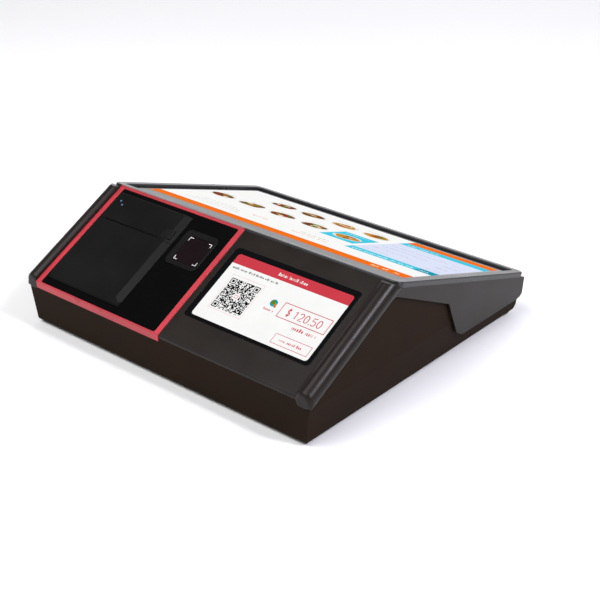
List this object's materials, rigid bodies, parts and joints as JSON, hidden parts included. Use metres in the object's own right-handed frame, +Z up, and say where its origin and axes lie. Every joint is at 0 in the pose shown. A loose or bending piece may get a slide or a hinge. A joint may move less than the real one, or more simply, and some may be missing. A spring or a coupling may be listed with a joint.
{
  "type": "self checkout kiosk",
  "caption": "Wedge-shaped countertop self checkout terminal: operator touch display behind, customer slope with display, scan window and hinged receipt printer door.",
  "frame": {"origin": "on the table under the middle of the terminal", "axes": "+Z up, -Y towards the customer slope, +Y towards the operator display, +X to the customer display side"},
  "size_m": [0.3852, 0.3647, 0.1227],
  "materials": {
    "hood_plastic": "fine moulded grain, near black",
    "tray_plastic": "fine moulded grain, warm near black",
    "bezel_plastic": "satin dark grey",
    "display_glass": "polished dark cover glass with a black border, backed by the lit panel",
    "lcd_module": "grey metal case",
    "sheet_steel": "zinc-plated sheet",
    "trim_red": "smooth red",
    "panel_black": "piano black",
    "cover_black": "fine texture, black",
    "lens_clear": "milky clear lens",
    "steel_pin": "ground steel",
    "platen_rubber": "ground rubber",
    "gear_plastic": "natural acetal",
    "motor_case": "dark plated steel",
    "frame_plastic": "moulded, dark",
    "head_aluminium": "milled",
    "paper_white": "paper",
    "core_plastic": "moulded grey tube",
    "window_glass": "dark red tinted window",
    "circuit_board": "green solder mask",
    "screw_steel": "blackened steel",
    "socket_metal": "nickel-plated shell",
    "socket_black": "moulded black",
    "foot_rubber": "soft black rubber",
    "button_plastic": "satin, slightly lighter than the cover",
    "cable_grey": "flat flexible cable"
  },
  "bodies": {
    "housing": {"upper_housing": "hood_plastic", "base_tray": "tray_plastic", "top_bezel": "bezel_plastic", "main_touch_glass": "display_glass", "main_lcd_panel": "lcd_module", "main_display_bracket": "sheet_steel", "customer_glass": "display_glass", "customer_lcd_panel": "lcd_module", "customer_display_bracket": "sheet_steel", "printer_trim": "trim_red", "printer_panel": "panel_black", "printer_bezel": "cover_black", "status_leds": "lens_clear", "door_hinge_pin": "steel_pin", "idler_pin": "steel_pin", "stepper_motor": "motor_case", "printer_frame": "frame_plastic", "thermal_head": "head_aluminium", "tear_bar": "steel_pin", "paper_bucket": "frame_plastic", "lever_pin": "steel_pin", "scan_frame": "cover_black", "scan_window": "window_glass", "scanner_module": "socket_black", "scanner_bracket": "sheet_steel", "nfc_antenna": "circuit_board", "mainboard": "circuit_board", "heat_sink": "head_aluminium", "board_screws": "screw_steel", "io_board": "circuit_board", "usb_sockets": "socket_metal", "lan_socket": "socket_metal", "drawer_socket": "socket_black", "power_socket": "socket_black", "port_plate": "sheet_steel", "power_switch": "socket_black", "speaker": "socket_black", "rubber_feet": "foot_rubber", "housing_screws": "screw_steel", "display_screws": "screw_steel", "display_cable": "cable_grey"},
    "door": {"paper_door": "cover_black"},
    "platen": {"platen_shaft": "steel_pin", "platen_roller": "platen_rubber", "platen_gear": "gear_plastic"},
    "paper": {"paper_roll": "paper_white", "paper_core": "core_plastic"},
    "release": {"release_button": "button_plastic"},
    "lever": {"release_lever": "frame_plastic"},
    "idler": {"idler_gear": "gear_plastic"},
    "pinion": {"motor_pinion": "gear_plastic", "motor_shaft": "steel_pin"},
    "power": {"power_button": "button_plastic"}
  },
  "joints": [
    {"name": "paper_door_hinge", "type": "hinge", "parent": "housing", "child": "door", "pos_m": [-0.11525, -0.16484, 0.05484], "axis": [1, 0, 0], "range_deg": [0, 75]},
    {"name": "platen_spin", "type": "hinge", "parent": "door", "child": "platen", "pos_m": [-0.12, -0.09646, 0.0868], "axis": [1, 0, 0], "continuous": true},
    {"name": "idler_spin", "type": "hinge", "parent": "housing", "child": "idler", "pos_m": [-0.0747, -0.08991, 0.07282], "axis": [1, 0, 0], "continuous": true},
    {"name": "motor_spin", "type": "hinge", "parent": "housing", "child": "pinion", "pos_m": [-0.08, -0.0773, 0.07718], "axis": [1, 0, 0], "continuous": true},
    {"name": "paper_roll_spin", "type": "hinge", "parent": "housing", "child": "paper", "pos_m": [-0.12085, -0.11491, 0.04736], "axis": [1, 0, 0], "continuous": true},
    {"name": "release_button_travel", "type": "slide", "parent": "housing", "child": "release", "axis": [0, 0.486, -0.8739], "range_m": [0, 0.0018], "stiffness_N_per_m": 900, "springref_m": -0.0008},
    {"name": "release_lever_pivot", "type": "hinge", "parent": "housing", "child": "lever", "pos_m": [-0.0704, -0.08555, 0.09436], "axis": [1, 0, 0], "range_deg": [-13, 0]},
    {"name": "power_button_travel", "type": "slide", "parent": "housing", "child": "power", "axis": [1, 0, 0], "range_m": [0, 0.0012], "stiffness_N_per_m": 1200, "springref_m": -0.0006}
  ],
  "couplings": [
    {"joint": "idler_spin", "follows": "platen_spin", "ratio": -0.69231},
    {"joint": "motor_spin", "follows": "platen_spin", "ratio": 1.5},
    {"joint": "release_lever_pivot", "follows": "release_button_travel", "rad_per_m": -115}
  ]
}
